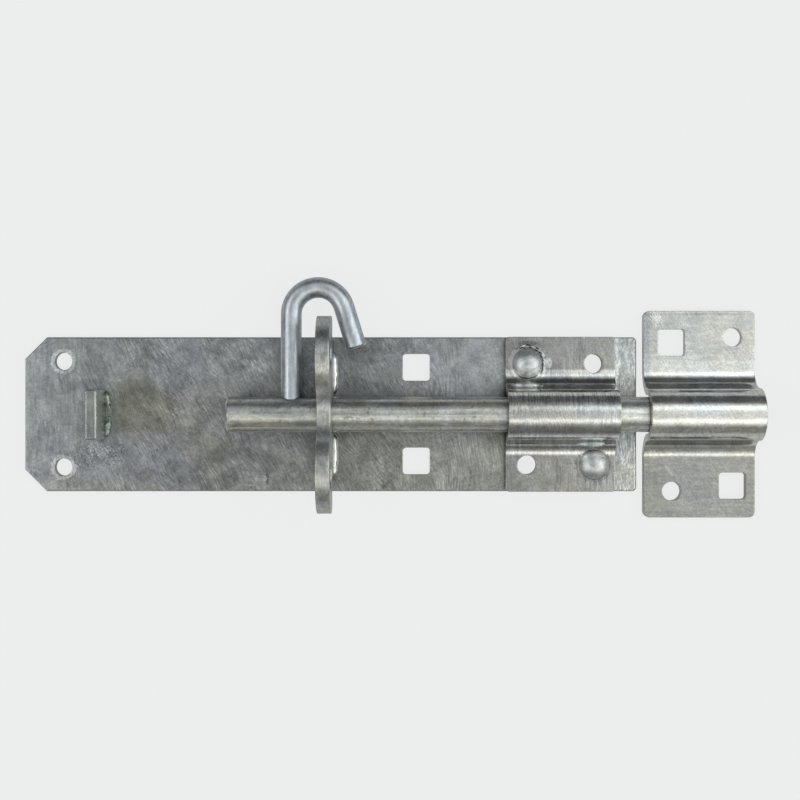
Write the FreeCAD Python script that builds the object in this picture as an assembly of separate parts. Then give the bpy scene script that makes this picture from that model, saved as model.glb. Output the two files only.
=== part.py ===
"""Galvanised padbolt: a back plate with a guided round bolt, a hook handle and a separate receiver.

Millimetres. The back faces lie on z = 0 and +Z points out of the door. +X points along the bolt to
its nose, +Y points up on a door. The origin is the centre of the back plate's back face.
"""
import FreeCAD, Part
import math
import os

Vector = FreeCAD.Vector
X_AXIS = Vector(1, 0, 0)
Y_AXIS = Vector(0, 1, 0)
Z_AXIS = Vector(0, 0, 1)

# Two places closer than this count as one
same_place = 1e-6

# Back plate
plate_length = 254.0
plate_width = 64.0
plate_thickness = 3.0
plate_corner_cut = 9.0
plate_corner_radius = 1.8
plate_edge_break = 0.5

# Fixing holes of the back plate
screw_hole_diameter = 7.3
screw_hole_inset = 16.0
screw_hole_spacing = 44.0
coach_hole_size = 11.2
coach_hole_radius = 1.4
coach_hole_from_lug = 37.0
coach_hole_spacing = 39.0

# Bolt bar, shot; bar_travel is the free way from its tail back to the stop
bar_diameter = 14.5
bar_length = 214.0
bar_travel = 51.4
bar_gap = 0.3
bar_tail_chamfer = 0.9
bar_nose_chamfer = 2.0

# Hook handle, one bent round rod in a plane through the bar's axis
rod_diameter = 8.5
hook_leg_from_tail = 26.3
hook_leg_height = 40.95
hook_bend_radius = 11.0
hook_tip_lean = 17.3
hook_tip_length = 17.8
hook_tip_break = 0.7
saddle_gap = 0.1

# Padlock plate: a foot round the bar and two ears that the flat hook passes under, each with an eye
lug_thickness = 5.5
lug_from_hook_leg = 14.3
lug_hole_clearance = 0.35
lug_foot_fillet = 2.0
ear_radius = 17.0
ear_offset = 22.5
ear_rise = 11.5
ear_corner_round = 3.0
lug_hook_gap = 0.8
waist_rise = 17.9
eye_diameter = 12.0
eye_offset = 24.0
eye_rise = 15.4

# Stop for the bar's tail, set in from the plate's tail end
stop_inset = 28.4
stop_thickness = 5.2
stop_width = 20.6
stop_height = 15.5
stop_edge_break = 0.7

# Keeps, pressed from sheet: a tunnel over the bar whose bends reach out to flat flanges
keep_sheet = 3.0
keep_clearance = 0.6
guide_inset = 9.3
guide_length = 45.2
guide_reach = 17.3
guide_corner_radius = 1.5
guide_hole_diameter = 8.0
guide_hole_pitch = 27.5
guide_hole_spacing = 42.0
receiver_gap = 3.0
receiver_length = 46.2
receiver_width = 85.8
receiver_reach = 18.4
receiver_corner_radius = 2.5
receiver_hole_diameter = 7.9
receiver_coach_size = 11.1
receiver_hole_inset = 11.6
receiver_hole_pitch = 25.3
receiver_round_spacing = 64.0
receiver_coach_spacing = 59.6

# Rivets of the guide keep, hammered flush into countersinks at the back
rivet_diameter = 7.0
rivet_head_diameter = 12.2
rivet_head_height = 3.6
rivet_head_rim = 0.4
rivet_seat_margin = 0.3
rivet_tail_diameter = 9.6
rivet_tail_depth = 1.3
rivet_clearance = 0.05

# Worked out from the driving dimensions
bar_radius = bar_diameter / 2
rod_radius = rod_diameter / 2
bar_z = plate_thickness + bar_gap + bar_radius
plate_left = -plate_length / 2
plate_right = plate_length / 2
plate_half_width = plate_width / 2
stop_left = plate_left + stop_inset
stop_right = stop_left + stop_thickness
bar_tail_x = stop_right + bar_travel
hook_leg_x = bar_tail_x + hook_leg_from_tail
lug_x = hook_leg_x + lug_from_hook_leg
coach_hole_x = lug_x + coach_hole_from_lug
guide_x = plate_right - guide_inset - guide_length
receiver_x = plate_right + receiver_gap
tunnel_inner = bar_radius + keep_clearance
tunnel_outer = tunnel_inner + keep_sheet
guide_centre_x = guide_x + guide_length / 2
rivet_seat_diameter = rivet_head_diameter + 2 * rivet_seat_margin
ear_z = bar_z + ear_rise
ear_underside = bar_z + rod_radius + lug_hook_gap
tip_lean = math.radians(hook_tip_lean)
tip_start_y = hook_leg_height + hook_bend_radius * math.sin(tip_lean)
tip_end_y = tip_start_y - hook_tip_length * math.cos(tip_lean)
lug_foot_half = tip_end_y - rod_radius * math.sin(tip_lean) - lug_hook_gap
eye_z = bar_z + eye_rise


def line(start, end):
    """Straight edge."""
    return Part.LineSegment(start, end).toShape()


def arc(centre, radius, start_angle, end_angle, u_axis, v_axis):
    """Circular edge about centre, angles in degrees from u_axis towards v_axis."""
    def point(angle):
        turn = math.radians(angle)
        return centre + u_axis * (radius * math.cos(turn)) + v_axis * (radius * math.sin(turn))
    middle = (start_angle + end_angle) / 2
    return Part.Arc(point(start_angle), point(middle), point(end_angle)).toShape()


def prism(edges, direction):
    """Solid swept straight from a closed outline."""
    return Part.Face(Part.Wire(Part.__sortEdges__(edges))).extrude(direction)


def rounded_prism(x, y, size_x, size_y, radius, z, height):
    """Upright block about (x, y) with its four upright edges rounded."""
    block = Part.makeBox(size_x, size_y, height, Vector(x - size_x / 2, y - size_y / 2, z))
    upright = [edge for edge in block.Edges if abs(edge.tangentAt(edge.FirstParameter).z) > 0.9]
    return block.makeFillet(radius, upright)


def upright_cylinder(x, y, diameter, z, height):
    """Round pin or hole standing on (x, y, z)."""
    return Part.makeCylinder(diameter / 2, height, Vector(x, y, z), Z_AXIS)


def cylinder_along_bar(radius, start_x, length):
    """Cylinder on the bar's axis."""
    return Part.makeCylinder(radius, length, Vector(start_x, 0, bar_z), X_AXIS)


def edges_at_height(shape, z):
    """Edges that lie wholly in the level plane z."""
    def level(edge):
        return abs(edge.BoundBox.ZMin - z) < same_place and abs(edge.BoundBox.ZMax - z) < same_place
    return [edge for edge in shape.Edges if level(edge)]


def edges_on_side(shape, x):
    """Edges that lie wholly in the plane x across the bar."""
    def flat(edge):
        return abs(edge.BoundBox.XMin - x) < same_place and abs(edge.BoundBox.XMax - x) < same_place
    return [edge for edge in shape.Edges if flat(edge)]


def guide_corners():
    """Corner points of the guide keep's hole pattern, as (x, y, side_x * side_y)."""
    for side_x in (-1, 1):
        for side_y in (-1, 1):
            x = guide_centre_x + side_x * guide_hole_pitch / 2
            yield x, side_y * guide_hole_spacing / 2, side_x * side_y


def guide_rivet_places():
    """The two rivets, at the upper left and the lower right."""
    return [(x, y) for x, y, diagonal in guide_corners() if diagonal < 0]


def guide_screw_places():
    """The two open holes on the other diagonal."""
    return [(x, y) for x, y, diagonal in guide_corners() if diagonal > 0]


def rivet_profile(seat_z, grow):
    """Shank and flush tail of a rivet as a radius and height outline, grown for its hole."""
    shank = rivet_diameter / 2 + grow
    tail = rivet_tail_diameter / 2 + grow
    return [
        Vector(0, 0, 0),
        Vector(tail, 0, 0),
        Vector(shank, 0, rivet_tail_depth),
        Vector(shank, 0, seat_z),
    ]


def rivet_seat_z():
    """Height of the guide keep's flange face under the rivet heads."""
    return plate_thickness + keep_sheet


def rivet_hole(x, y):
    """Countersunk through hole that a rivet fills."""
    points = rivet_profile(rivet_seat_z(), rivet_clearance)
    points.append(Vector(0, 0, rivet_seat_z()))
    points.append(points[0])
    turned = Part.Face(Part.makePolygon(points)).revolve(Vector(0, 0, 0), Z_AXIS, 360)
    turned.translate(Vector(x, y, 0))
    return turned


def make_rivet(x, y):
    """Round-headed rivet with its tail flush in the back plate."""
    seat = rivet_seat_z()
    rim = seat + rivet_head_rim
    head = rivet_head_diameter / 2
    dome = rivet_head_height - rivet_head_rim
    sphere = (head ** 2 + dome ** 2) / (2 * dome)
    centre = Vector(0, 0, rim + dome - sphere)
    edge_angle = math.degrees(math.asin((sphere - dome) / sphere))
    points = rivet_profile(seat, 0.0) + [Vector(head, 0, seat), Vector(head, 0, rim)]
    edges = [line(a, b) for a, b in zip(points, points[1:])]
    edges.append(arc(centre, sphere, edge_angle, 90, X_AXIS, Z_AXIS))
    edges.append(line(Vector(0, 0, rim + dome), points[0]))
    outline = Part.Face(Part.Wire(Part.__sortEdges__(edges)))
    rivet = outline.revolve(Vector(0, 0, 0), Z_AXIS, 360)
    rivet.translate(Vector(x, y, 0))
    return rivet


def plate_outline():
    """Flat outline: cut corners at the tail end, small radii at the nose end."""
    cut = plate_corner_cut
    radius = plate_corner_radius
    half = plate_half_width
    lower = Vector(plate_right - radius, -half + radius, 0)
    upper = Vector(plate_right - radius, half - radius, 0)
    return [
        line(Vector(plate_left + cut, -half, 0), Vector(plate_right - radius, -half, 0)),
        arc(lower, radius, -90, 0, X_AXIS, Y_AXIS),
        line(Vector(plate_right, -half + radius, 0), Vector(plate_right, half - radius, 0)),
        arc(upper, radius, 0, 90, X_AXIS, Y_AXIS),
        line(Vector(plate_right - radius, half, 0), Vector(plate_left + cut, half, 0)),
        line(Vector(plate_left + cut, half, 0), Vector(plate_left, half - cut, 0)),
        line(Vector(plate_left, half - cut, 0), Vector(plate_left, -half + cut, 0)),
        line(Vector(plate_left, -half + cut, 0), Vector(plate_left + cut, -half, 0)),
    ]


def make_back_plate():
    """Flat plate with broken front edges and all its holes."""
    plate = prism(plate_outline(), Vector(0, 0, plate_thickness))
    plate = plate.makeChamfer(plate_edge_break, edges_at_height(plate, plate_thickness))
    holes = [rivet_hole(x, y) for x, y in guide_rivet_places()]
    for side in (-1, 1):
        screw_y = side * screw_hole_spacing / 2
        coach_y = side * coach_hole_spacing / 2
        screw_x = plate_left + screw_hole_inset
        holes.append(upright_cylinder(screw_x, screw_y, screw_hole_diameter, 0, plate_thickness))
        holes.append(rounded_prism(coach_hole_x, coach_y, coach_hole_size, coach_hole_size,
                                   coach_hole_radius, 0, plate_thickness))
    for x, y in guide_screw_places():
        holes.append(upright_cylinder(x, y, guide_hole_diameter, 0, plate_thickness))
    return plate.cut(holes)


def keep_half_outline(foot_z, half_width, reach, side):
    """One half of a keep's bent section, from the crest to the flange's edge, side is +1 or -1."""
    across = Vector(0, side, 0)
    top = foot_z + keep_sheet
    drop = bar_z - top
    bend = (reach ** 2 + drop ** 2 - tunnel_outer ** 2) / (2 * (tunnel_outer + drop))
    turn = math.degrees(math.atan2(bend - drop, reach))
    axis = Vector(0, 0, bar_z)
    bend_centre = across * reach + Vector(0, 0, top + bend)

    def point(y, z):
        return across * y + Vector(0, 0, z)

    return [
        arc(axis, tunnel_outer, 90, turn, across, Z_AXIS),
        arc(bend_centre, bend, 180 + turn, 270, across, Z_AXIS),
        line(point(reach, top), point(half_width, top)),
        line(point(half_width, top), point(half_width, foot_z)),
        line(point(half_width, foot_z), point(reach, foot_z)),
        arc(bend_centre, bend + keep_sheet, 270, 180 + turn, across, Z_AXIS),
        arc(axis, tunnel_inner, turn, 90, across, Z_AXIS),
    ]


def make_keep(start_x, length, width, reach, foot_z, corner_radius):
    """Bridge pressed from sheet: two flat flanges and a tunnel over the bar."""
    edges = []
    for side in (-1, 1):
        edges += keep_half_outline(foot_z, width / 2, reach, side)
    bridge = prism(edges, X_AXIS * length)
    bridge.translate(X_AXIS * start_x)
    tall = bar_z + tunnel_outer
    trim = rounded_prism(start_x + length / 2, 0, length, width, corner_radius, foot_z, tall)
    return bridge.common(trim)


def make_guide_keep():
    """Keep on the back plate, with two open holes and two rivet holes, flattened round the heads."""
    keep = make_keep(guide_x, guide_length, plate_width, guide_reach, plate_thickness,
                     guide_corner_radius)
    holes = []
    for x, y in guide_rivet_places():
        holes.append(rivet_hole(x, y))
        holes.append(upright_cylinder(x, y, rivet_seat_diameter, rivet_seat_z(), rivet_head_height))
    for x, y in guide_screw_places():
        holes.append(upright_cylinder(x, y, guide_hole_diameter, plate_thickness, bar_z))
    return keep.cut(holes)


def receiver_columns():
    """The two columns of holes in the receiver."""
    left = receiver_x + receiver_hole_inset
    return left, left + receiver_hole_pitch


def make_receiver_keep():
    """Keep on the frame, with a square and a round hole in each flange."""
    keep = make_keep(receiver_x, receiver_length, receiver_width, receiver_reach, 0.0,
                     receiver_corner_radius)
    left, right = receiver_columns()
    holes = []
    for side, square_x, round_x in ((1, left, right), (-1, right, left)):
        square_y = side * receiver_coach_spacing / 2
        round_y = side * receiver_round_spacing / 2
        holes.append(rounded_prism(square_x, square_y, receiver_coach_size, receiver_coach_size,
                                   coach_hole_radius, 0, keep_sheet))
        holes.append(upright_cylinder(round_x, round_y, receiver_hole_diameter, 0, keep_sheet))
    return keep.cut(holes)


def ear_outline(side):
    """Edges of one half of the padlock plate, from the waist over the ear and down to the foot."""
    across = Vector(0, side, 0)
    foot = lug_foot_half
    ear = across * ear_offset + Vector(0, 0, ear_z)

    def point(y, z):
        return across * y + Vector(0, 0, z)

    drop = ear_z - waist_rise - bar_z
    waist_radius = (ear_offset ** 2 + drop ** 2 - ear_radius ** 2) / (2 * (ear_radius + drop))
    waist_centre = Vector(0, 0, bar_z + waist_rise + waist_radius)
    waist_angle = math.degrees(math.atan2(ear_z - waist_centre.z, ear_offset))

    corner_z = ear_underside + ear_corner_round
    inner = ear_radius - ear_corner_round
    corner_reach = math.sqrt(inner ** 2 - (ear_z - corner_z) ** 2)
    corner = point(ear_offset + corner_reach, corner_z)
    corner_angle = math.degrees(math.atan2(corner_z - ear_z, corner_reach))

    fillet_centre = point(foot + lug_foot_fillet, ear_underside - lug_foot_fillet)
    return [
        arc(waist_centre, waist_radius, -90, waist_angle, across, Z_AXIS),
        arc(ear, ear_radius, 180 + waist_angle, corner_angle, across, Z_AXIS),
        arc(corner, ear_corner_round, corner_angle, -90, across, Z_AXIS),
        line(point(corner.y * side, ear_underside), point(foot + lug_foot_fillet, ear_underside)),
        arc(fillet_centre, lug_foot_fillet, 90, 180, across, Z_AXIS),
        line(point(foot, ear_underside - lug_foot_fillet), point(foot, plate_thickness)),
        line(point(foot, plate_thickness), point(0, plate_thickness)),
    ]


def make_padlock_plate():
    """Standing plate with a waist between two ears, an eye in each ear and a hole for the bar."""
    left = lug_x - lug_thickness / 2
    lug = prism(ear_outline(1) + ear_outline(-1), X_AXIS * lug_thickness)
    lug.translate(X_AXIS * left)
    holes = [cylinder_along_bar(bar_radius + lug_hole_clearance, left, lug_thickness)]
    for side in (-1, 1):
        start = Vector(left, side * eye_offset, eye_z)
        holes.append(Part.makeCylinder(eye_diameter / 2, lug_thickness, start, X_AXIS))
    return lug.cut(holes)


def make_bolt_stop():
    """Small upright tab in line with the bar."""
    corner = Vector(stop_left, -stop_width / 2, plate_thickness)
    tab = Part.makeBox(stop_thickness, stop_width, stop_height, corner)
    on_plate = edges_at_height(tab, plate_thickness)
    free = [edge for edge in tab.Edges if not any(edge.isSame(seat) for seat in on_plate)]
    return tab.makeChamfer(stop_edge_break, free)


def make_bolt_bar():
    """Round bar with a broken tail edge and a chamfered nose."""
    nose_x = bar_tail_x + bar_length
    bar = cylinder_along_bar(bar_radius, bar_tail_x, bar_length)
    bar = bar.makeChamfer(bar_tail_chamfer, edges_on_side(bar, bar_tail_x))
    return bar.makeChamfer(bar_nose_chamfer, edges_on_side(bar, nose_x))


def make_hook_handle():
    """Rod bent to a hook, its foot shaped to the round of the bar."""
    foot = Vector(hook_leg_x, bar_radius / 2, bar_z)
    shoulder = Vector(hook_leg_x, hook_leg_height, bar_z)
    centre = shoulder + X_AXIS * hook_bend_radius
    bend_end = centre + Vector(math.cos(tip_lean), math.sin(tip_lean), 0) * hook_bend_radius
    tip_way = Vector(math.sin(tip_lean), -math.cos(tip_lean), 0)
    leg = Part.makeCylinder(rod_radius, shoulder.y - foot.y, foot, Y_AXIS)
    section = Part.Face(Part.Wire(Part.makeCircle(rod_radius, shoulder, Y_AXIS)))
    bend = section.revolve(centre, Z_AXIS, hook_tip_lean - 180)
    tip = Part.makeCylinder(rod_radius, hook_tip_length, bend_end, tip_way)
    tip_end = bend_end + tip_way * hook_tip_length
    tip_rim = [edge for edge in tip.Edges if edge.CenterOfMass.distanceToPoint(tip_end) < rod_radius / 2]
    rod = leg.fuse([bend, tip.makeChamfer(hook_tip_break, tip_rim)])
    saddle = cylinder_along_bar(bar_radius + saddle_gap, hook_leg_x - rod_diameter, 2 * rod_diameter)
    return rod.cut(saddle)


def build_parts():
    """All pieces by node name."""
    return {
        "back_plate": make_back_plate(),
        "padlock_plate": make_padlock_plate(),
        "bolt_stop": make_bolt_stop(),
        "guide_keep": make_guide_keep(),
        "guide_rivets": Part.makeCompound([make_rivet(x, y) for x, y in guide_rivet_places()]),
        "bolt_bar": make_bolt_bar(),
        "hook_handle": make_hook_handle(),
        "receiver_keep": make_receiver_keep(),
    }


os.makedirs("parts", exist_ok=True)
for name, shape in build_parts().items():
    solids = shape.Solids
    piece = solids[0] if len(solids) == 1 else Part.makeCompound(solids)
    piece.exportStep("parts/" + name + ".step")
    print(name, piece.isValid(), len(solids), round(piece.Volume, 1))
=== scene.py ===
"""Padbolt: zinc looks, weld beads, drops, a burr, studio light and the photo's camera round the CAD model."""
import math

import bmesh
import bpy
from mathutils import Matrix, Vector, noise


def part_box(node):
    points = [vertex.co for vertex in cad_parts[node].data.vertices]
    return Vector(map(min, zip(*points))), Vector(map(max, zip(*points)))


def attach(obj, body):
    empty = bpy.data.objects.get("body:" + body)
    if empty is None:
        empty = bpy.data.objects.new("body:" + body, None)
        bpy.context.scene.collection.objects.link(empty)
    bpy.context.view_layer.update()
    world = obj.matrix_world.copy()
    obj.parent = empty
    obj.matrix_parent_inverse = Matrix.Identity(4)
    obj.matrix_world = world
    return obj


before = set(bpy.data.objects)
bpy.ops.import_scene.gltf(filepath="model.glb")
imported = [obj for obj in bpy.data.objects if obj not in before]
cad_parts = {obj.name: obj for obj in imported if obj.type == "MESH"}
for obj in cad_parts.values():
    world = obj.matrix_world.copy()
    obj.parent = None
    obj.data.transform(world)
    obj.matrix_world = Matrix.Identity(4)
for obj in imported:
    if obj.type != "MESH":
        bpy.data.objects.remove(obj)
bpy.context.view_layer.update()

MM = 0.001

# The photo's camera, straight above the part; lens and sensor width in millimetres
CAMERA_PLACE = (28.8 * MM, 5.9 * MM, 510.0 * MM)
CAMERA_LENS = 54.9
CAMERA_SENSOR = 36.0

# Floor: its own light as the camera sees it and, dimmer, as the metal reflects it
FLOOR_COLOUR = (0.820, 0.838, 0.829, 1.0)
FLOOR_DROP = 0.3 * MM
FLOOR_HALF = 3.0
FLOOR_GLOW = 0.94
FLOOR_GLOW_REFLECTED = 0.50
FLOOR_DIFFUSE = (0.08, 0.08, 0.08, 1.0)

# Studio light: angles in degrees from straight up, across towards +Y and along towards +X
# Overhead light: its edges across and their softness, its level, and where it ends along
OVERHEAD = (-44.0, 44.0, 14.0)
OVERHEAD_LEVEL = 0.19
OVERHEAD_ENDS = (48.0, 72.0)
# Rises: the angle where the level starts to grow, the angle where it is full, and the growth
RIGHT_RISE = (-1.0, 16.0, 0.74)
LEFT_RISE = (-6.0, -22.0, 0.27)
BACK_LAMP_RISE = (2.0, 15.0, 0.80)
DARK_FRONT_RISE = (0.0, -60.0, 0.14)
# Lamps: angle, spread and level
FRONT_LAMP = (-27.0, 6.5, 0.85)
BACK_LAMP = (28.0, 7.0, 0.15)
LEFT_LAMP = (-43.0, 6.5, 2.2)
RIGHT_LAMP = (61.0, 8.0, 2.6)
SIDE_LAMP_SPREAD = 26.0
# Level of the dark sides, the two tints of the light, and the angles across between which they change
DARK_LEVEL = 0.09
LIGHT_WARM = (0.99, 0.985, 0.925, 1.0)
LIGHT_COOL = (0.94, 0.99, 1.0, 1.0)
LIGHT_TURN = (-45.0, 55.0)

# Noise: how one shift is shared between x, y and z, its mean, and its detail from broad to finest
NOISE_SHIFT = (1.0, 0.7, 1.3)
NOISE_MEAN = 0.5
NOISE_ROUGHNESS = 0.6
BROAD = 1.0
PLAIN = 2.0
FINE = 3.0
FINEST = 4.0

# Shifts that give each noise a pattern of its own
PATCH_SHIFT = 31.0
GRAIN_SHIFT = 57.0
GRAIN_SHIFT_STEP = 9.0
WANDER_SHIFT = 17.0
STROKE_SHIFT = 23.0
STROKE_PATCH_SHIFT = 5.0
BLOT_SHIFT = 91.0
RING_SHIFT = 41.0
SCUFF_SHIFT = 71.0
FLAKE_SHIFT = 63.0
FLAKE_WANDER_SHIFT = 77.0
FLECK_SHIFT = 37.0
PIT_SHIFT = 83.0

# Values of a noise between which the surface goes from one state to the other
CLOUD_RANGE = (0.40, 0.60)
SHADE_RANGE = (0.30, 0.70)
STROKE_RANGE = (-0.20, 0.20)
STROKE_PATCH_RANGE = (0.40, 0.58)
SCUFF_RANGE = (0.46, 0.58)
FLAKE_RANGE = (-0.18, 0.18)

# Painted shade in the gaps: how open a place is where it fades out, and the same for the darker painted shade
# deep in the gaps
GAP_SHADE_RANGE = (0.45, 0.98)
DEEP_GAP_SHADE_RANGE = (0.10, 0.50)
DEEP_GAP_SHADE = 0.42
GAP_SHADE_SAMPLES = 6
EDGE_SAMPLES = 6

# What marks of one kind share: sizes and lifts in millimetres, angles in degrees, the rest as shares
WANDER_SIZE = 18.0
LINE_CORE = 0.3
RING_RAGGED = 0.5
RING_GRAIN = 1.5
RING_LIFT = 0.02
SCRATCH_CORE = 0.3
SCRATCH_LIFT = 0.015
SCUFF_ANGLE = 90.0
SCUFF_SOFT = 0.3
FLAKE_WANDER_SIZE = 4.0
FLAKE_WANDER = 3.0
FLAKE_ANGLE = 75.0
FLAKE_LENGTH = 3.0
FLAKE_WIDTH = 0.9
FLECK_SOFT = 0.5
FLECK_RAGGED = 1.0
PIT_SOFT = 0.05


class Graph:
    """Short calls for the nodes that all materials share; lengths are in millimetres."""

    def __init__(self, tree):
        self.tree = tree
        tree.nodes.clear()

    def node(self, kind, **settings):
        made = self.tree.nodes.new(kind)
        for name, value in settings.items():
            setattr(made, name, value)
        return made

    def put(self, socket, value):
        if isinstance(value, bpy.types.NodeSocket):
            self.tree.links.new(value, socket)
        else:
            socket.default_value = value

    def maths(self, operation, first, second=0.0):
        made = self.node("ShaderNodeMath", operation=operation)
        self.put(made.inputs[0], first)
        self.put(made.inputs[1], second)
        return made.outputs[0]

    def times(self, first, second):
        return self.maths("MULTIPLY", first, second)

    def plus(self, first, second):
        return self.maths("ADD", first, second)

    def step(self, value, low, high, to_low=0.0, to_high=1.0):
        made = self.node("ShaderNodeMapRange", interpolation_type="SMOOTHSTEP")
        self.put(made.inputs["Value"], value)
        ends = {"From Min": low, "From Max": high, "To Min": to_low, "To Max": to_high}
        for name, number in ends.items():
            self.put(made.inputs[name], number)
        return made.outputs["Result"]

    def fade(self, value, low, high):
        """1 up to the low value, 0 from the high one."""
        return self.step(value, low, high, 1.0, 0.0)

    def mix(self, factor, first, second):
        made = self.node("ShaderNodeMix", data_type="RGBA")
        self.put(made.inputs["Factor"], factor)
        self.put(made.inputs["A"], first)
        self.put(made.inputs["B"], second)
        return made.outputs["Result"]

    def vector(self, operation, first, second=None, scale=None):
        made = self.node("ShaderNodeVectorMath", operation=operation)
        self.put(made.inputs[0], first)
        if second is not None:
            self.put(made.inputs[1], second)
        if scale is not None:
            self.put(made.inputs["Scale"], scale)
        return made.outputs["Value" if operation in ("LENGTH", "DOT_PRODUCT") else "Vector"]

    def split(self, vector):
        made = self.node("ShaderNodeSeparateXYZ")
        self.put(made.inputs[0], vector)
        return made.outputs[0], made.outputs[1], made.outputs[2]

    def place(self):
        """Where a point is on the part, in millimetres."""
        return self.vector("SCALE", self.node("ShaderNodeTexCoord").outputs["Object"], scale=1.0 / MM)

    def noise(self, vector, size, detail, shift=0.0, output="Fac"):
        made = self.node("ShaderNodeTexNoise", noise_dimensions="3D")
        moved = vector
        if shift:
            moved = self.vector("ADD", vector, tuple(shift * share for share in NOISE_SHIFT))
        self.put(made.inputs["Vector"], moved)
        self.put(made.inputs["Scale"], 1.0 / size)
        self.put(made.inputs["Detail"], detail)
        self.put(made.inputs["Roughness"], NOISE_ROUGHNESS)
        return made.outputs[output]

    def about_zero(self, value):
        """A noise value less its mean."""
        return self.maths("SUBTRACT", value, NOISE_MEAN)

    def warp(self, vector, size, amount, shift):
        """The same place pushed about, so that straight strokes wander."""
        colours = self.noise(vector, size, BROAD, shift, "Color")
        swirl = self.vector("SUBTRACT", colours, (NOISE_MEAN, NOISE_MEAN, NOISE_MEAN))
        return self.vector("ADD", vector, self.vector("SCALE", swirl, scale=amount))

    def strokes(self, vector, angle, along, across, shift, deep=None):
        """Noise drawn out along an angle in the plate's plane; deep is its size in z, if not as across."""
        turned = self.node("ShaderNodeVectorRotate", rotation_type="Z_AXIS")
        self.put(turned.inputs["Vector"], vector)
        self.put(turned.inputs["Angle"], math.radians(-angle))
        shares = (1.0 / along, 1.0 / across, 1.0 / (deep or across))
        thin = self.vector("MULTIPLY", turned.outputs["Vector"], shares)
        return self.noise(thin, 1.0, PLAIN, shift)


def band(g, value, low, high, soft):
    """1 between two values, with soft edges."""
    return g.times(g.step(value, low - soft, low + soft), g.fade(value, high - soft, high + soft))


class Skin:
    """What a zinc surface adds up to: a colour, a shade that multiplies it, and a height in millimetres."""

    def __init__(self, g, colour):
        self.g = g
        self.place = g.place()
        self.x, self.y = g.split(self.place)[:2]
        self.colour = colour
        self.shade = 1.0
        self.height = 0.0

    def tint(self, mask, colour):
        self.colour = self.g.mix(mask, self.colour, colour)

    def vary(self, value, span, depth):
        """Shades the surface by a noise value over its span, evenly lighter and darker."""
        self.shade = self.g.times(self.shade, self.g.step(value, *span, 1.0 - depth, 1.0 + depth))

    def gain(self, mask, factor):
        """Multiplies the shade by a factor where the mask is 1."""
        self.shade = self.g.times(self.shade, self.g.step(mask, 0.0, 1.0, 1.0, factor))

    def lift(self, value, amount):
        self.height = self.g.plus(self.height, self.g.times(value, amount))

    def reach(self, centre, size):
        """1 on the edge of an ellipse in x and y, 0 at its middle."""
        local = self.g.vector("SUBTRACT", self.place, (centre[0], centre[1], 0.0))
        flat = self.g.vector("MULTIPLY", local, (1.0 / size[0], 1.0 / size[1], 0.0))
        return self.g.vector("LENGTH", flat)

    def blot(self, centre, size, soft, ragged, grain=5.0):
        """A mask for a patch with a ragged edge."""
        g = self.g
        rough = g.times(g.about_zero(g.noise(self.place, grain, FINE, BLOT_SHIFT)), ragged)
        return g.fade(g.plus(self.reach(centre, size), rough), 1.0 - soft, 1.0 + soft)


def zinc(name, look):
    """Galvanised steel: clouds of cool and warm grey, wiped strokes, grain, and painted shade in the corners.
    """
    material = bpy.data.materials.new(name)
    material.use_nodes = True
    g = Graph(material.node_tree)
    skin = Skin(g, look["cool"])
    clouds = g.noise(skin.place, look["cloud_size"], FINEST)
    skin.tint(g.step(clouds, *CLOUD_RANGE), look["warm"])

    patches = g.noise(skin.place, look["patch_size"], FINE, PATCH_SHIFT)
    skin.vary(patches, SHADE_RANGE, look["patch_depth"])
    skin.lift(patches, look["patch_bump"])
    for number, (size, depth, bump) in enumerate(look["grain"]):
        grain = g.noise(skin.place, size, PLAIN, GRAIN_SHIFT + GRAIN_SHIFT_STEP * number)
        skin.vary(grain, SHADE_RANGE, depth)
        skin.lift(grain, bump)

    wander = g.warp(skin.place, WANDER_SIZE, look["wander"], WANDER_SHIFT)
    for number, stroke in enumerate(look["strokes"]):
        wipe(skin, wander, STROKE_SHIFT * (number + 1), **stroke)
    for mark in look["marks"]:
        mark(skin)
    # Painted shade where other surfaces stand close by
    if look["gap_shade"]:
        paint_gap_shade(skin, look["gap_shade"], look["gap_shade_reach"])

    rough = g.step(patches, *SHADE_RANGE, *look["rough"])
    finish_zinc(g, skin, rough, look["edge"])
    return material


def wipe(skin, place, shift, angle, along, across, depth, bump, deep=None, patch=0.0, rise=None, fall=None):
    """Strokes of a cloth or brush in one direction, in patches, that come in and fade out along x."""
    g = skin.g
    stroke = g.about_zero(g.strokes(place, angle, along, across, shift, deep))
    if patch:
        patches = g.noise(skin.place, patch, BROAD, shift + STROKE_PATCH_SHIFT)
        stroke = g.times(stroke, g.step(patches, *STROKE_PATCH_RANGE))
    if rise:
        stroke = g.times(stroke, g.step(skin.x, *rise))
    if fall:
        stroke = g.times(stroke, g.fade(skin.x, *fall))
    skin.vary(stroke, STROKE_RANGE, depth)
    skin.lift(stroke, bump)


def paint_gap_shade(skin, depth, reach):
    """Painted shade: darker where other surfaces stand close by, and darker still deep in the gaps."""
    g = skin.g
    near = g.node("ShaderNodeAmbientOcclusion", samples=GAP_SHADE_SAMPLES)
    g.put(near.inputs["Distance"], reach * MM)
    skin.gain(g.fade(near.outputs["AO"], *GAP_SHADE_RANGE), 1.0 - depth)
    skin.gain(g.fade(near.outputs["AO"], *DEEP_GAP_SHADE_RANGE), DEEP_GAP_SHADE)


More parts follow.
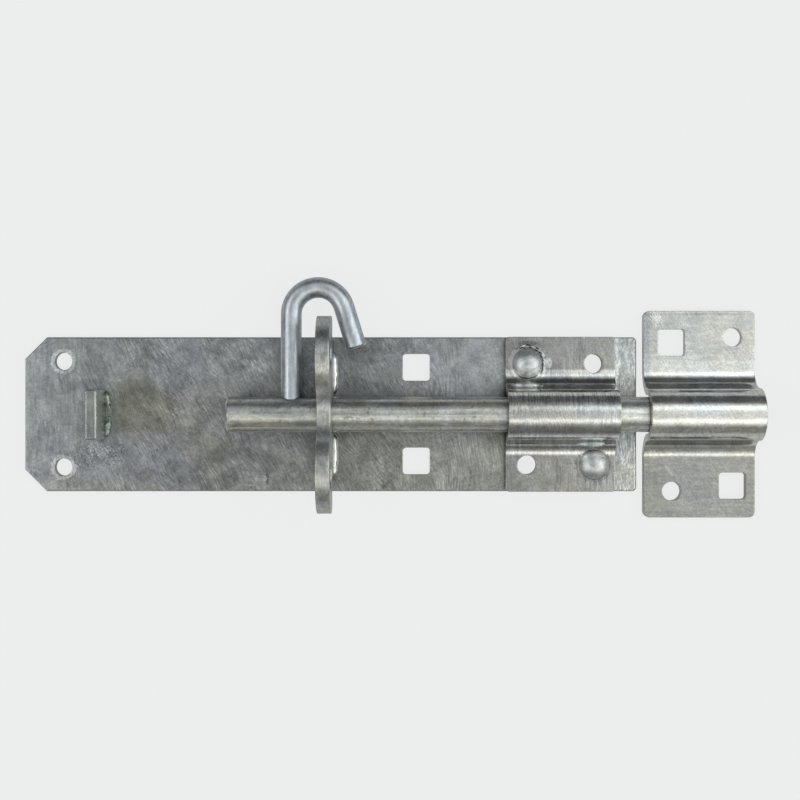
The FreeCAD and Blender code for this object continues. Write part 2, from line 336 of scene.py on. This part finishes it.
def finish_zinc(g, skin, rough, edge_radius):
    """The shader itself: metal with softened edges and the skin's bumps."""
    tinted = g.vector("SCALE", skin.colour, scale=skin.shade)
    edge = g.node("ShaderNodeBevel", samples=EDGE_SAMPLES)
    g.put(edge.inputs["Radius"], edge_radius * MM)
    bump = g.node("ShaderNodeBump")
    g.put(bump.inputs["Strength"], 1.0)
    g.put(bump.inputs["Distance"], MM)
    g.put(bump.inputs["Height"], skin.height)
    g.put(bump.inputs["Normal"], edge.outputs["Normal"])
    metal = g.node("ShaderNodeBsdfPrincipled")
    g.put(metal.inputs["Metallic"], 1.0)
    g.put(metal.inputs["Base Color"], tinted)
    g.put(metal.inputs["Roughness"], rough)
    g.put(metal.inputs["Normal"], bump.outputs["Normal"])
    output = g.node("ShaderNodeOutputMaterial")
    g.put(output.inputs["Surface"], metal.outputs["BSDF"])


def stain_and_painted_shade(centre, size, colour, strength, soft=0.35, ragged=1.0):
    """A patch of another colour, for stains and for painted shade."""
    def mark(skin):
        skin.tint(skin.g.times(skin.blot(centre, size, soft, ragged), strength), colour)
    return mark


def spot(centre, size, factor, lift=0.0, soft=0.4, ragged=1.2, grain=2.0):
    """A lighter or darker patch, raised or sunk a little."""
    def mark(skin):
        mask = skin.blot(centre, size, soft, ragged, grain)
        skin.gain(mask, factor)
        skin.lift(mask, lift)
    return mark


def ring(centre, radius, width, factor):
    """A worn or burred ring round a hole or a rivet."""
    def mark(skin):
        g = skin.g
        wave = g.about_zero(g.noise(skin.place, RING_GRAIN, PLAIN, RING_SHIFT))
        rough = g.times(wave, RING_RAGGED * radius)
        away = g.plus(skin.reach(centre, (1.0, 1.0)), rough)
        off = g.maths("ABSOLUTE", g.maths("SUBTRACT", away, radius))
        mask = g.fade(off, LINE_CORE * width, width)
        skin.gain(mask, factor)
        skin.lift(mask, RING_LIFT)
    return mark


def scratch(start, end, width, factor):
    """One scratch along a straight line."""
    run = Vector(end) - Vector(start)
    middle = (Vector(start) + Vector(end)) / 2.0
    along, across = run.normalized(), run.orthogonal().normalized()

    def mark(skin):
        g = skin.g
        local = g.vector("SUBTRACT", skin.place, (middle.x, middle.y, 0.0))
        down = g.maths("ABSOLUTE", g.vector("DOT_PRODUCT", local, (along.x, along.y, 0.0)))
        side = g.maths("ABSOLUTE", g.vector("DOT_PRODUCT", local, (across.x, across.y, 0.0)))
        length = g.fade(down, SCRATCH_CORE * run.length, run.length / 2.0)
        mask = g.times(length, g.fade(side, LINE_CORE * width, width))
        skin.gain(mask, factor)
        skin.lift(mask, SCRATCH_LIFT)
    return mark


def painted_light_zone(low_y, high_y, factor):
    """Painted light and shade across the part: lighter or darker from one y to another, as on a lit flange
    and a shaded one.
    """
    def mark(skin):
        skin.gain(skin.g.step(skin.y, low_y, high_y), factor)
    return mark


def painted_light_band(low_y, high_y, soft, factor):
    """Painted light and shade in a strip between two y values, as painted highlights on a crest or bend and
    darker strips beside them.
    """
    def mark(skin):
        skin.gain(band(skin.g, skin.y, low_y, high_y, soft), factor)
    return mark


def scuffs(low_y, high_y, along, across, depth):
    """Short dark drag marks across a strip between two y values."""
    def mark(skin):
        g = skin.g
        strip = band(g, skin.y, low_y, high_y, SCUFF_SOFT * (high_y - low_y))
        drags = g.strokes(skin.place, SCUFF_ANGLE, along, across, SCUFF_SHIFT, deep=along)
        skin.gain(g.times(strip, g.step(drags, *SCUFF_RANGE)), 1.0 - depth)
    return mark


def crinkle(low_x, high_x, depth, lift, factor):
    """Zinc that froze in bright and dull flakes, from one x to another."""
    def mark(skin):
        g = skin.g
        span = g.step(skin.x, low_x, high_x)
        wander = g.warp(skin.place, FLAKE_WANDER_SIZE, FLAKE_WANDER, FLAKE_WANDER_SHIFT)
        flakes = g.about_zero(g.strokes(wander, FLAKE_ANGLE, FLAKE_LENGTH, FLAKE_WIDTH, FLAKE_SHIFT))
        flakes = g.times(flakes, span)
        skin.gain(span, factor)
        skin.vary(flakes, FLAKE_RANGE, depth)
        skin.lift(flakes, lift)
    return mark


def flecks(centre, size, grain, depth, lift):
    """A patch where the zinc sparkles in fine light and dark grains."""
    def mark(skin):
        g = skin.g
        speck = g.about_zero(g.noise(skin.place, grain, PLAIN, FLECK_SHIFT))
        speck = g.times(speck, skin.blot(centre, size, FLECK_SOFT, FLECK_RAGGED))
        skin.vary(speck, FLAKE_RANGE, depth)
        skin.lift(speck, lift)
    return mark


def pits(size, rarity, factor):
    """Scattered dark specks."""
    def mark(skin):
        speck = skin.g.noise(skin.place, size, BROAD, PIT_SHIFT)
        skin.gain(skin.g.step(speck, rarity, rarity + PIT_SOFT), factor)
    return mark


# Looks: sizes and places in millimetres in the part's frame; each grain is a size, a depth and a bump
# In each look, the depth of the painted shade in the gaps and how far in millimetres it reaches
SCREW_HOLES = ((-111.0, 22.0), (-111.0, -22.0))
RIVET_UPPER = (81.35, 21.0)
RIVET_LOWER = (108.85, -21.0)
PLATE_LOOK = {
    "cool": (0.424, 0.440, 0.462, 1.0), "warm": (0.432, 0.440, 0.424, 1.0), "cloud_size": 24.0,
    "patch_size": 9.0, "patch_depth": 0.08, "patch_bump": 0.025,
    "grain": [(2.2, 0.09, 0.008), (0.9, 0.12, 0.005)],
    "wander": 3.5, "rough": (0.25, 0.36), "edge": 0.5, "gap_shade": 0.36, "gap_shade_reach": 12.0,
    "strokes": [
        dict(angle=-62.0, along=8.0, across=0.62, depth=0.25, bump=0.012, patch=13.0, rise=(-112.0, -92.0),
             fall=(35.0, 60.0)),
        dict(angle=-44.0, along=6.0, across=0.52, depth=0.22, bump=0.010, patch=10.0, rise=(-98.0, -80.0),
             fall=(25.0, 50.0)),
        dict(angle=-84.0, along=9.0, across=0.65, depth=0.24, bump=0.010, patch=16.0, rise=(15.0, 45.0)),
        dict(angle=-72.0, along=14.0, across=0.38, depth=0.16, bump=0.005, patch=9.0),
        dict(angle=25.0, along=5.0, across=0.60, depth=0.10, bump=0.004, patch=12.0),
        dict(angle=90.0, along=26.0, across=1.10, depth=0.14, bump=0.006, fall=(-108.0, -92.0)),
    ],
    "marks": [
        # A bluish tint over the upper half of the plate and a warmer one over the lower half
        stain_and_painted_shade((-10.0, 24.0), (130.0, 17.0), (0.412, 0.440, 0.490, 1.0), 0.40, soft=0.8, ragged=0.6),
        stain_and_painted_shade((40.0, -24.0), (85.0, 15.0), (0.436, 0.440, 0.400, 1.0), 0.45, soft=0.6, ragged=0.6),
        stain_and_painted_shade((-90.0, -18.0), (27.0, 10.0), (0.412, 0.425, 0.485, 1.0), 0.60, soft=0.6),
        stain_and_painted_shade((-119.0, 0.0), (13.0, 30.0), (0.430, 0.455, 0.500, 1.0), 0.60, soft=0.6),
        # Painted shadow: a dark brownish patch just right of the stop
        stain_and_painted_shade((-80.0, 2.5), (13.0, 10.5), (0.322, 0.322, 0.266, 1.0), 0.85),
        stain_and_painted_shade((-91.0, 1.5), (3.5, 10.0), (0.40, 0.47, 0.40, 1.0), 0.7),
        *(ring(hole, radius=4.5, width=1.1, factor=1.6) for hole in SCREW_HOLES),
        # Painted shadow: a dark sliver right of the zinc drip
        spot((-26.4, -27.2), (0.7, 2.2), 0.60),
        spot((-52.0, -20.0), (34.0, 13.0), 0.84, soft=0.7, ragged=0.8, grain=12.0),
        # Painted shade: a darker patch right of the padlock plate, by the hook's tip
        spot((16.0, 18.0), (14.0, 11.0), 0.84, soft=0.6, ragged=0.8, grain=9.0),
        spot((16.0, -20.0), (14.0, 11.0), 0.91, soft=0.6, ragged=0.8, grain=9.0),
        spot((57.0, 18.0), (17.0, 13.0), 1.12, soft=0.6, ragged=0.8, grain=9.0),
        flecks((-95.0, -17.3), (13.0, 5.5), grain=0.8, depth=0.34, lift=0.03),
        spot((-34.0, 21.5), (3.2, 1.4), 1.35),
        crinkle(114.0, 119.0, depth=0.27, lift=0.02, factor=1.4),
        spot((117.6, 21.0), (2.0, 11.0), 1.8, lift=0.02),
    ],
}
DROP_LOOK = dict(
    PLATE_LOOK, cool=(0.320, 0.332, 0.343, 1.0), warm=(0.325, 0.332, 0.321, 1.0), patch_bump=0.02,
    rough=(0.34, 0.44), edge=0.2, gap_shade=0.0, marks=[], strokes=[],
)
LUG_LOOK = {
    "cool": (0.545, 0.570, 0.585, 1.0), "warm": (0.560, 0.562, 0.525, 1.0), "cloud_size": 12.0,
    "patch_size": 6.0, "patch_depth": 0.13, "patch_bump": 0.04,
    "grain": [(2.0, 0.10, 0.008), (0.9, 0.10, 0.005)],
    "wander": 3.0, "rough": (0.30, 0.40), "edge": 0.9, "gap_shade": 0.20, "gap_shade_reach": 8.0,
    "strokes": [dict(angle=90.0, along=8.0, across=0.8, depth=0.14, bump=0.006)],
    "marks": [],
}
STOP_LOOK = dict(
    LUG_LOOK, cool=(0.412, 0.434, 0.434, 1.0), warm=(0.421, 0.434, 0.416, 1.0), rough=(0.22, 0.30),
    patch_depth=0.07, grain=[(2.0, 0.06, 0.005), (0.9, 0.06, 0.003)],
)
WELD_LOOK = dict(
    STOP_LOOK, cool=(0.30, 0.34, 0.305, 1.0), warm=(0.33, 0.355, 0.31, 1.0), edge=0.2, rough=(0.42, 0.52),
    marks=[pits(size=1.8, rarity=0.58, factor=0.55)],
)
LUG_WELD_LOOK = dict(
    LUG_LOOK, cool=(0.60, 0.63, 0.65, 1.0), warm=(0.62, 0.63, 0.61, 1.0), edge=0.2, gap_shade=0.0,
    rough=(0.24, 0.32), patch_bump=0.012, grain=[(2.0, 0.08, 0.003)], strokes=[],
)
KEEP_LOOK = {
    "cool": (0.442, 0.452, 0.452, 1.0), "warm": (0.460, 0.456, 0.430, 1.0), "cloud_size": 20.0,
    "patch_size": 6.0, "patch_depth": 0.10, "patch_bump": 0.03,
    "grain": [(1.8, 0.08, 0.008), (0.8, 0.12, 0.005)],
    "wander": 2.0, "rough": (0.14, 0.23), "edge": 0.6, "gap_shade": 0.22, "gap_shade_reach": 6.0,
    "strokes": [
        dict(angle=90.0, along=12.0, across=0.7, deep=12.0, depth=0.20, bump=0.010, patch=15.0),
        dict(angle=-70.0, along=8.0, across=0.6, deep=8.0, depth=0.12, bump=0.005, patch=12.0),
    ],
    "marks": [
        # Painted highlights: lighter strips along the crest and the bends
        painted_light_band(-6.0, 5.5, soft=2.0, factor=1.32),
        painted_light_band(15.9, 18.4, soft=0.8, factor=1.95),
        painted_light_band(-16.8, -14.0, soft=0.8, factor=1.50),
        painted_light_band(10.0, 12.4, soft=0.6, factor=1.9),
        painted_light_band(-13.0, -8.4, soft=0.6, factor=1.9),
        painted_light_band(4.6, 9.0, soft=1.0, factor=1.9),
        scuffs(4.0, 8.8, along=6.0, across=0.55, depth=0.36),
        ring(RIVET_UPPER, radius=7.0, width=1.4, factor=1.30),
        # Painted shadow: a dark crescent above the upper rivet, under the burr's edge
        spot((81.6, 29.3), (4.0, 1.0), 0.60),
        spot((89.8, 21.4), (1.4, 2.2), 1.60, lift=0.04),
        ring(RIVET_LOWER, radius=6.8, width=0.9, factor=0.75),
    ],
}
BURR_LOOK = dict(
    KEEP_LOOK, cool=(0.50, 0.52, 0.53, 1.0), warm=(0.53, 0.53, 0.51, 1.0), edge=0.1, marks=[], strokes=[],
)
RECEIVER_LOOK = dict(
    KEEP_LOOK, cool=(0.605, 0.620, 0.615, 1.0), warm=(0.625, 0.625, 0.590, 1.0),
    strokes=[
        dict(angle=0.0, along=18.0, across=1.2, depth=0.08, bump=0.004),
        dict(angle=-55.0, along=10.0, across=0.7, deep=10.0, depth=0.10, bump=0.005, patch=14.0),
    ],
    marks=[
        # Painted shade: a dark bluish strip along the receiver's left edge
        stain_and_painted_shade((131.0, 28.0), (1.7, 16.0), (0.44, 0.46, 0.51, 1.0), 0.7),
        # Painted shade: a dark line just under the top edge
        painted_light_band(41.2, 41.9, soft=0.4, factor=0.80),
        # Painted shade: the lower flange darker; painted light: the upper flange lighter towards its bend
        painted_light_zone(-13.0, -17.0, factor=0.48),
        painted_light_zone(28.0, 17.0, factor=1.25),
        # Painted highlight on the lower bend, and painted shade darkening the crest
        painted_light_band(-17.5, -14.5, soft=0.8, factor=1.50),
        painted_light_band(-3.0, 3.0, soft=2.0, factor=0.82),
        spot((134.7, 39.6), (2.2, 3.0), 1.24, lift=0.05, soft=0.7, ragged=2.4, grain=1.2),
        scratch((138.2, -20.5), (142.2, -25.7), width=0.6, factor=1.30),
    ],
)
RIVET_LOOK = {
    "cool": (0.57, 0.60, 0.62, 1.0), "warm": (0.59, 0.605, 0.60, 1.0), "cloud_size": 8.0,
    "patch_size": 4.0, "patch_depth": 0.12, "patch_bump": 0.06,
    "grain": [(1.0, 0.10, 0.006)],
    "wander": 1.0, "rough": (0.40, 0.48), "edge": 0.4, "gap_shade": 0.35, "gap_shade_reach": 3.0,
    "strokes": [dict(angle=30.0, along=4.0, across=0.8, depth=0.10, bump=0.006)],
    "marks": [],
}
BAR_LOOK = {
    "cool": (0.585, 0.605, 0.602, 1.0), "warm": (0.603, 0.604, 0.552, 1.0), "cloud_size": 18.0,
    "patch_size": 7.0, "patch_depth": 0.12, "patch_bump": 0.03,
    "grain": [(2.0, 0.10, 0.008), (0.9, 0.12, 0.005)],
    "wander": 1.5, "rough": (0.29, 0.37), "edge": 0.5, "gap_shade": 0.22, "gap_shade_reach": 5.0,
    "strokes": [dict(angle=0.0, along=30.0, across=0.9, depth=0.16, bump=0.006)],
    "marks": [
        pits(size=2.4, rarity=0.66, factor=0.65),
        spot((124.5, 0.0), (9.0, 9.0), 1.22, soft=0.5),
    ],
}
ROD_LOOK = {
    "cool": (0.530, 0.580, 0.645, 1.0), "warm": (0.560, 0.590, 0.625, 1.0), "cloud_size": 14.0,
    "patch_size": 5.0, "patch_depth": 0.10, "patch_bump": 0.035,
    "grain": [(1.4, 0.08, 0.006)],
    "wander": 1.5, "rough": (0.36, 0.44), "edge": 0.5, "gap_shade": 0.30, "gap_shade_reach": 5.0,
    "strokes": [dict(angle=90.0, along=20.0, across=0.9, depth=0.12, bump=0.008)],
    "marks": [],
}


def dress(node_name, material):
    """Give a CAD node one material."""
    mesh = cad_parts[node_name].data
    mesh.materials.clear()
    mesh.materials.append(material)


def dress_all():
    looks = {
        "back_plate": PLATE_LOOK, "padlock_plate": LUG_LOOK, "bolt_stop": STOP_LOOK, "guide_keep": KEEP_LOOK,
        "guide_rivets": RIVET_LOOK, "bolt_bar": BAR_LOOK, "hook_handle": ROD_LOOK,
        "receiver_keep": RECEIVER_LOOK,
    }
    for node_name, look in looks.items():
        dress(node_name, zinc("zinc_" + node_name, look))


# Beads of metal: width, height, unevenness and the part of a round that the section covers, in degrees
STOP_BEAD = (2.2 * MM, 1.8 * MM, 0.30, 90.0)
STOP_BEAD_INSET = 0.8 * MM
BAR_CLEARANCE = 0.15 * MM
LUG_BEAD = (1.9 * MM, 2.1 * MM, 0.10, 90.0)
LUG_BEAD_SPAN = (8.6 * MM, 25.3 * MM)
BURR = (0.75 * MM, 0.85 * MM, 0.80, 180.0)
BURR_RADIUS = 7.2 * MM
BURR_TURN = (-38.0, 128.0)
KEEP_SHEET = 3.0 * MM
BEAD_SINK = 0.15 * MM
BEAD_STEPS = 72
BEAD_ARC_STEPS = 10
BEAD_RIPPLE = 2.2 * MM
BEAD_LEAST_TAPER = 0.2
BEAD_BLUNT = 0.25

# Frozen drops of zinc on the plate: centre, half sizes and height
DRIP = ((-28.9 * MM, -26.7 * MM), (3.0 * MM, 2.2 * MM), 0.32 * MM)
RUN = ((-34.2 * MM, -29.0 * MM), (6.2 * MM, 1.5 * MM), 0.16 * MM)
DROP_RINGS = 12
DROP_SPOKES = 48
DROP_UNEVEN = 0.18


def bead_section(form, taper, place):
    """Across and up from the path: a lumpy part of a round, closed a little below the face it sits on."""
    width, height, uneven, spread = form
    outer = []
    for number in range(BEAD_ARC_STEPS + 1):
        turn = math.radians(spread) * number / BEAD_ARC_STEPS
        swell = taper * (1.0 + uneven * noise.noise(place / BEAD_RIPPLE + Vector((turn, 0.0, 0.0))))
        outer.append((width * swell * math.cos(turn), height * swell * math.sin(turn)))
    inner = min(-BEAD_SINK, outer[-1][0] - BEAD_SINK)
    return outer + [(inner, outer[-1][1]), (inner, -BEAD_SINK), (outer[0][0], -BEAD_SINK)]


def bead_mesh(name, path, floor_z, form, ceiling=None):
    """A bead along a path of points and the directions across it; ceiling gives the highest z at a y."""
    bead = bmesh.new()
    rings = []
    for number, (point, across) in enumerate(path):
        taper = max(BEAD_LEAST_TAPER, math.sin(math.pi * number / (len(path) - 1)) ** BEAD_BLUNT)
        section = bead_section(form, taper, Vector((point.x, point.y, 0.0)))
        highest = ceiling(point.y) if ceiling else math.inf
        rings.append([bead.verts.new((*(point + across * side), min(floor_z + up, highest)))
                      for side, up in section])
    for ring_a, ring_b in zip(rings, rings[1:]):
        for number in range(len(ring_a)):
            after = (number + 1) % len(ring_a)
            bead.faces.new((ring_a[number], ring_a[after], ring_b[after], ring_b[number]))
    bead.faces.new(rings[0])
    bead.faces.new(rings[-1])
    return smooth_mesh(name, bead)


def wall_path(wall_x, way, first, last):
    """A straight path along a wall's foot; way is the side of the wall, +1 or -1 in x."""
    shares = [number / BEAD_STEPS for number in range(BEAD_STEPS + 1)]
    return [(Vector((wall_x, first + share * (last - first))), Vector((way, 0.0))) for share in shares]


def ring_path(centre, radius, first, last):
    """A path round a centre, between two angles in degrees."""
    turns = [math.radians(first + (last - first) * number / BEAD_STEPS) for number in range(BEAD_STEPS + 1)]
    out = [Vector((math.cos(turn), math.sin(turn))) for turn in turns]
    return [(Vector(centre) + radius * way, way) for way in out]


def drop_mesh(name, centre, half, height, floor_z):
    """A low drop on a face: a dome with a wavy rim."""
    drop = bmesh.new()
    rings = []
    for number in range(1, DROP_RINGS + 1):
        share = number / DROP_RINGS
        up = height * (1.0 - share ** 2) - BEAD_SINK * share ** 2
        ring_points = []
        for spoke in range(DROP_SPOKES):
            turn = math.tau * spoke / DROP_SPOKES
            way = Vector((math.cos(turn), math.sin(turn), share))
            wave = share * (1.0 + DROP_UNEVEN * noise.noise(way))
            ring_points.append(drop.verts.new((centre[0] + half[0] * wave * math.cos(turn),
                                               centre[1] + half[1] * wave * math.sin(turn), floor_z + up)))
        rings.append(ring_points)
    top = drop.verts.new((centre[0], centre[1], floor_z + height))
    for number in range(DROP_SPOKES):
        after = (number + 1) % DROP_SPOKES
        drop.faces.new((top, rings[0][number], rings[0][after]))
        for ring_a, ring_b in zip(rings, rings[1:]):
            drop.faces.new((ring_a[number], ring_b[number], ring_b[after], ring_a[after]))
    drop.faces.new(rings[-1])
    return smooth_mesh(name, drop)


def smooth_mesh(name, built):
    """The finished mesh of what was built, with smooth shading."""
    bmesh.ops.recalc_face_normals(built, faces=built.faces)
    mesh = bpy.data.meshes.new(name)
    built.to_mesh(mesh)
    built.free()
    mesh.polygons.foreach_set("use_smooth", [True] * len(mesh.polygons))
    return mesh


def add_piece(mesh, material):
    """A new piece on the fixed body."""
    mesh.materials.append(material)
    piece = bpy.data.objects.new(mesh.name, mesh)
    bpy.context.scene.collection.objects.link(piece)
    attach(piece, "plate")


def under_bar(y):
    """The highest z that leaves the bar room to slide over it."""
    low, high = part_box("bolt_bar")
    axis_z = (low[2] + high[2]) / 2.0
    room = (high[1] - low[1]) / 2.0 + BAR_CLEARANCE
    return axis_z - math.sqrt(max(0.0, room ** 2 - y ** 2))


def add_welds():
    """A bead beside the stop, and beads on both sides of the padlock plate, above and below the bar."""
    floor_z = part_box("back_plate")[1][2]
    low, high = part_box("bolt_stop")
    path = wall_path(high[0], 1.0, low[1] + STOP_BEAD_INSET, high[1] - STOP_BEAD_INSET)
    mesh = bead_mesh("weld_stop", path, floor_z, STOP_BEAD, under_bar)
    add_piece(mesh, zinc("zinc_weld_stop", WELD_LOOK))
    low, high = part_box("padlock_plate")
    material = zinc("zinc_weld_lug", LUG_WELD_LOOK)
    near, far = LUG_BEAD_SPAN
    for side, wall_x, way in (("left", low[0], -1.0), ("right", high[0], 1.0)):
        for end, first, last in (("upper", near, far), ("lower", -far, -near)):
            path = wall_path(wall_x, way, first, last)
            mesh = bead_mesh("weld_lug_" + end + "_" + side, path, floor_z, LUG_BEAD)
            add_piece(mesh, material)


def add_drops():
    """The drip and the run on the plate, and the burr that the upper rivet left on the guide."""
    plate_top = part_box("back_plate")[1][2]
    material = zinc("zinc_drop", DROP_LOOK)
    for name, (centre, half, height) in (("zinc_drip", DRIP), ("zinc_run", RUN)):
        add_piece(drop_mesh(name, centre, half, height, plate_top), material)
    guide_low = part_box("guide_keep")[0]
    centre = [place * MM for place in RIVET_UPPER]
    path = ring_path(centre, BURR_RADIUS, *BURR_TURN)
    mesh = bead_mesh("rivet_burr", path, guide_low[2] + KEEP_SHEET, BURR)
    add_piece(mesh, zinc("zinc_burr", BURR_LOOK))


def floor_material():
    """Pale paper that lights itself."""
    material = bpy.data.materials.new("floor_paper")
    material.use_nodes = True
    g = Graph(material.node_tree)
    glow = g.node("ShaderNodeEmission")
    g.put(glow.inputs["Color"], FLOOR_COLOUR)
    seen = g.node("ShaderNodeLightPath").outputs["Is Camera Ray"]
    g.put(glow.inputs["Strength"], g.step(seen, 0.0, 1.0, FLOOR_GLOW_REFLECTED, FLOOR_GLOW))
    paper = g.node("ShaderNodeBsdfDiffuse")
    g.put(paper.inputs["Color"], FLOOR_DIFFUSE)
    both = g.node("ShaderNodeAddShader")
    g.put(both.inputs[0], glow.outputs[0])
    g.put(both.inputs[1], paper.outputs[0])
    output = g.node("ShaderNodeOutputMaterial")
    g.put(output.inputs["Surface"], both.outputs[0])
    return material


def add_floor():
    mesh = bpy.data.meshes.new("floor")
    half = FLOOR_HALF
    corners = [(-half, -half, 0), (half, -half, 0), (half, half, 0), (-half, half, 0)]
    mesh.from_pydata(corners, [], [(0, 1, 2, 3)])
    mesh.materials.append(floor_material())
    floor = bpy.data.objects.new("floor", mesh)
    floor.location.z = -FLOOR_DROP
    bpy.context.scene.collection.objects.link(floor)


def lamp(g, angle, centre, spread, level):
    """A soft lamp round one angle, as a bell curve."""
    away = g.maths("DIVIDE", g.maths("SUBTRACT", angle, centre), spread)
    return g.times(g.maths("EXPONENT", g.times(g.times(away, away), -0.5)), level)


def studio_level(g, across, along):
    """Brightness of the studio by direction: a soft overhead light with lamps in it, and dark sides."""
    start, full, growth = RIGHT_RISE
    level = g.step(along, start, full, OVERHEAD_LEVEL, OVERHEAD_LEVEL + growth)
    start, full, growth = LEFT_RISE
    level = g.plus(level, g.step(along, full, start, growth, 0.0))
    level = g.plus(level, lamp(g, across, *FRONT_LAMP))
    start, full, growth = BACK_LAMP_RISE
    angle, spread, least = BACK_LAMP
    back = g.step(along, start, full, least, least + growth)
    level = g.plus(level, lamp(g, across, angle, spread, back))
    level = g.times(level, band(g, across, *OVERHEAD))
    level = g.times(level, g.fade(g.maths("ABSOLUTE", along), *OVERHEAD_ENDS))
    sides = g.plus(lamp(g, along, *LEFT_LAMP), lamp(g, along, *RIGHT_LAMP))
    level = g.plus(level, lamp(g, across, 0.0, SIDE_LAMP_SPREAD, sides))
    start, full, growth = DARK_FRONT_RISE
    return g.plus(level, g.step(across, full, start, DARK_LEVEL + growth, DARK_LEVEL))


def add_light():
    """The studio as a surround; the camera itself sees plain paper behind the floor."""
    world = bpy.data.worlds.new("studio")
    bpy.context.scene.world = world
    world.use_nodes = True
    g = Graph(world.node_tree)
    x, y, z = g.split(g.node("ShaderNodeTexCoord").outputs["Generated"])
    across = g.times(g.maths("ARCTAN2", y, z), math.degrees(1.0))
    along = g.times(g.maths("ARCSINE", x), math.degrees(1.0))
    light = g.node("ShaderNodeBackground")
    g.put(light.inputs["Color"], g.mix(g.step(across, *LIGHT_TURN), LIGHT_WARM, LIGHT_COOL))
    g.put(light.inputs["Strength"], studio_level(g, across, along))
    paper = g.node("ShaderNodeBackground")
    g.put(paper.inputs["Color"], FLOOR_COLOUR)
    chosen = g.node("ShaderNodeMixShader")
    g.put(chosen.inputs[0], g.node("ShaderNodeLightPath").outputs["Is Camera Ray"])
    g.put(chosen.inputs[1], light.outputs[0])
    g.put(chosen.inputs[2], paper.outputs[0])
    output = g.node("ShaderNodeOutputWorld")
    g.put(output.inputs["Surface"], chosen.outputs[0])


def add_camera():
    data = bpy.data.cameras.new("camera")
    data.lens = CAMERA_LENS
    data.sensor_width = CAMERA_SENSOR
    camera = bpy.data.objects.new("camera", data)
    camera.location = CAMERA_PLACE
    bpy.context.scene.collection.objects.link(camera)
    bpy.context.scene.camera = camera


bpy.context.scene.view_settings.view_transform = "Standard"
dress_all()
add_welds()
add_drops()
add_floor()
add_light()
add_camera()
